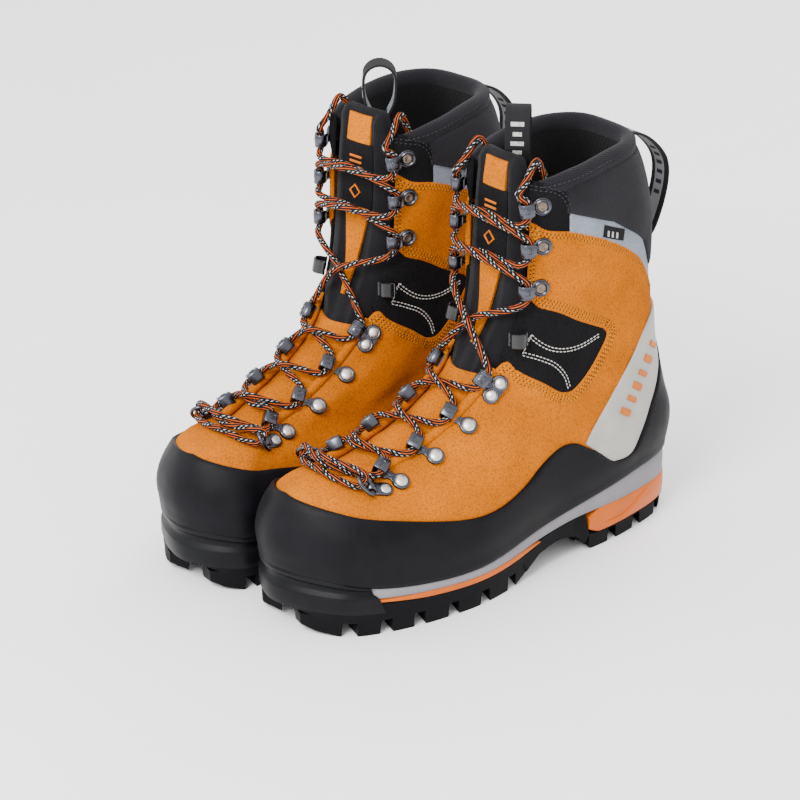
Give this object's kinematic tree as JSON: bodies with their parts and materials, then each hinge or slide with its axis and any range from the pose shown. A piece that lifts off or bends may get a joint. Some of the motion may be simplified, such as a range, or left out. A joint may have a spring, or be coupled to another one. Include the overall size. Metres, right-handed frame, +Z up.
{
  "type": "mountaineering boots",
  "caption": "Pair of insulated high-cut mountaineering boots with suede uppers, rubber rands, laces and stiff lugged soles for crampons.",
  "frame": {"origin": "bottom centre of the pair's box, on the ground between the boots", "axes": "+Z up, toes towards -Y, the left boot at +X"},
  "size_m": [0.217, 0.3153, 0.2908],
  "materials": {
    "rubber": "matt moulded rubber",
    "grey_foam": "satin foam",
    "orange_rubber": "satin moulded",
    "nylon": "satin",
    "board": "matt fibre board",
    "footbed": "matt felt",
    "orange_suede": "napped suede",
    "black_suede": "napped nubuck",
    "grey_fabric": "smooth woven",
    "black_knit": "knitted mesh",
    "grey_strap": "satin coated",
    "lining": "brushed knit",
    "webbing": "flat woven",
    "lace": "round braid",
    "steel": "dark burnished"
  },
  "bodies": {
    "left_boot": {"outsole_left": "rubber", "midsole_left": "grey_foam", "forefoot_insert_left": "orange_rubber", "heel_insert_left": "orange_rubber", "shank_left": "nylon", "lasting_board_left": "board", "rand_left": "rubber", "leather_upper_left": "orange_suede", "cuff_trim_left": "grey_fabric", "collar_left": "black_knit", "heel_strap_left": "grey_strap", "lining_left": "lining", "rear_loop_left": "webbing", "lace_left": "lace", "flex_panel_lateral_left": "black_suede", "facing_lateral_left": "black_suede", "eyelet_row_lateral_left": "steel", "cuff_hook_row_lateral_left": "steel", "ankle_loop_lateral_left": "nylon", "flex_panel_medial_left": "black_suede", "facing_medial_left": "black_suede", "eyelet_row_medial_left": "steel", "cuff_hook_row_medial_left": "steel", "ankle_loop_medial_left": "nylon"},
    "left_tongue": {"tongue_left": "black_suede", "tongue_strip_left": "orange_suede"},
    "left_tongue_loop": {"tongue_loop_left": "webbing"},
    "left_footbed": {"footbed_left": "footbed"},
    "left_d_ring_lateral": {"d_ring_lateral_left": "steel"},
    "left_d_ring_medial": {"d_ring_medial_left": "steel"},
    "right_boot": {"outsole_right": "rubber", "midsole_right": "grey_foam", "forefoot_insert_right": "orange_rubber", "heel_insert_right": "orange_rubber", "shank_right": "nylon", "lasting_board_right": "board", "rand_right": "rubber", "leather_upper_right": "orange_suede", "cuff_trim_right": "grey_fabric", "collar_right": "black_knit", "heel_strap_right": "grey_strap", "lining_right": "lining", "rear_loop_right": "webbing", "lace_right": "lace", "flex_panel_lateral_right": "black_suede", "facing_lateral_right": "black_suede", "eyelet_row_lateral_right": "steel", "cuff_hook_row_lateral_right": "steel", "ankle_loop_lateral_right": "nylon", "flex_panel_medial_right": "black_suede", "facing_medial_right": "black_suede", "eyelet_row_medial_right": "steel", "cuff_hook_row_medial_right": "steel", "ankle_loop_medial_right": "nylon"},
    "right_tongue": {"tongue_right": "black_suede", "tongue_strip_right": "orange_suede"},
    "right_tongue_loop": {"tongue_loop_right": "webbing"},
    "right_footbed": {"footbed_right": "footbed"},
    "right_d_ring_lateral": {"d_ring_lateral_right": "steel"},
    "right_d_ring_medial": {"d_ring_medial_right": "steel"}
  },
  "joints": [
    {"name": "right_boot_apart", "type": "slide", "parent": "left_boot", "child": "right_boot", "axis": [-1, 0, 0], "range_m": [0, 0.25]},
    {"name": "left_tongue_hinge", "type": "hinge", "parent": "left_boot", "child": "left_tongue", "pos_m": [0.04482, -0.0874, 0.08956], "axis": [-0.9984, 0.0558, 0], "range_deg": [0, 12]},
    {"name": "left_tongue_loop_hinge", "type": "hinge", "parent": "left_tongue", "child": "left_tongue_loop", "pos_m": [0.05783, 0.03459, 0.252], "axis": [-0.9984, 0.0558, 0], "range_deg": [0, 45]},
    {"name": "left_footbed_lift", "type": "hinge", "parent": "left_boot", "child": "left_footbed", "pos_m": [0.04887, -0.12566, 0.0368], "axis": [0.9984, -0.0558, 0], "range_deg": [0, 8]},
    {"name": "left_d_ring_lateral_hinge", "type": "hinge", "parent": "left_boot", "child": "left_d_ring_lateral", "pos_m": [0.07355, -0.09914, 0.08851], "axis": [-0.7395, 0.4797, 0.4722], "range_deg": [-6, 6]},
    {"name": "left_d_ring_medial_hinge", "type": "hinge", "parent": "left_boot", "child": "left_d_ring_medial", "pos_m": [0.01817, -0.09594, 0.08774], "axis": [0.7058, 0.1389, 0.6947], "range_deg": [-6, 6]},
    {"name": "right_tongue_hinge", "type": "hinge", "parent": "right_boot", "child": "right_tongue", "pos_m": [-0.04482, -0.0934, 0.08956], "axis": [-0.9984, -0.0558, 0], "range_deg": [0, 12]},
    {"name": "right_tongue_loop_hinge", "type": "hinge", "parent": "right_tongue", "child": "right_tongue_loop", "pos_m": [-0.05783, 0.02859, 0.252], "axis": [-0.9984, -0.0558, 0], "range_deg": [0, 45]},
    {"name": "right_footbed_lift", "type": "hinge", "parent": "right_boot", "child": "right_footbed", "pos_m": [-0.04887, -0.13166, 0.0368], "axis": [0.9984, 0.0558, 0], "range_deg": [0, 8]},
    {"name": "right_d_ring_lateral_hinge", "type": "hinge", "parent": "right_boot", "child": "right_d_ring_lateral", "pos_m": [-0.07355, -0.10514, 0.08851], "axis": [0.7395, 0.4797, 0.4722], "range_deg": [-6, 6]},
    {"name": "right_d_ring_medial_hinge", "type": "hinge", "parent": "right_boot", "child": "right_d_ring_medial", "pos_m": [-0.01817, -0.10194, 0.08774], "axis": [-0.7058, 0.1389, 0.6947], "range_deg": [-6, 6]}
  ]
}
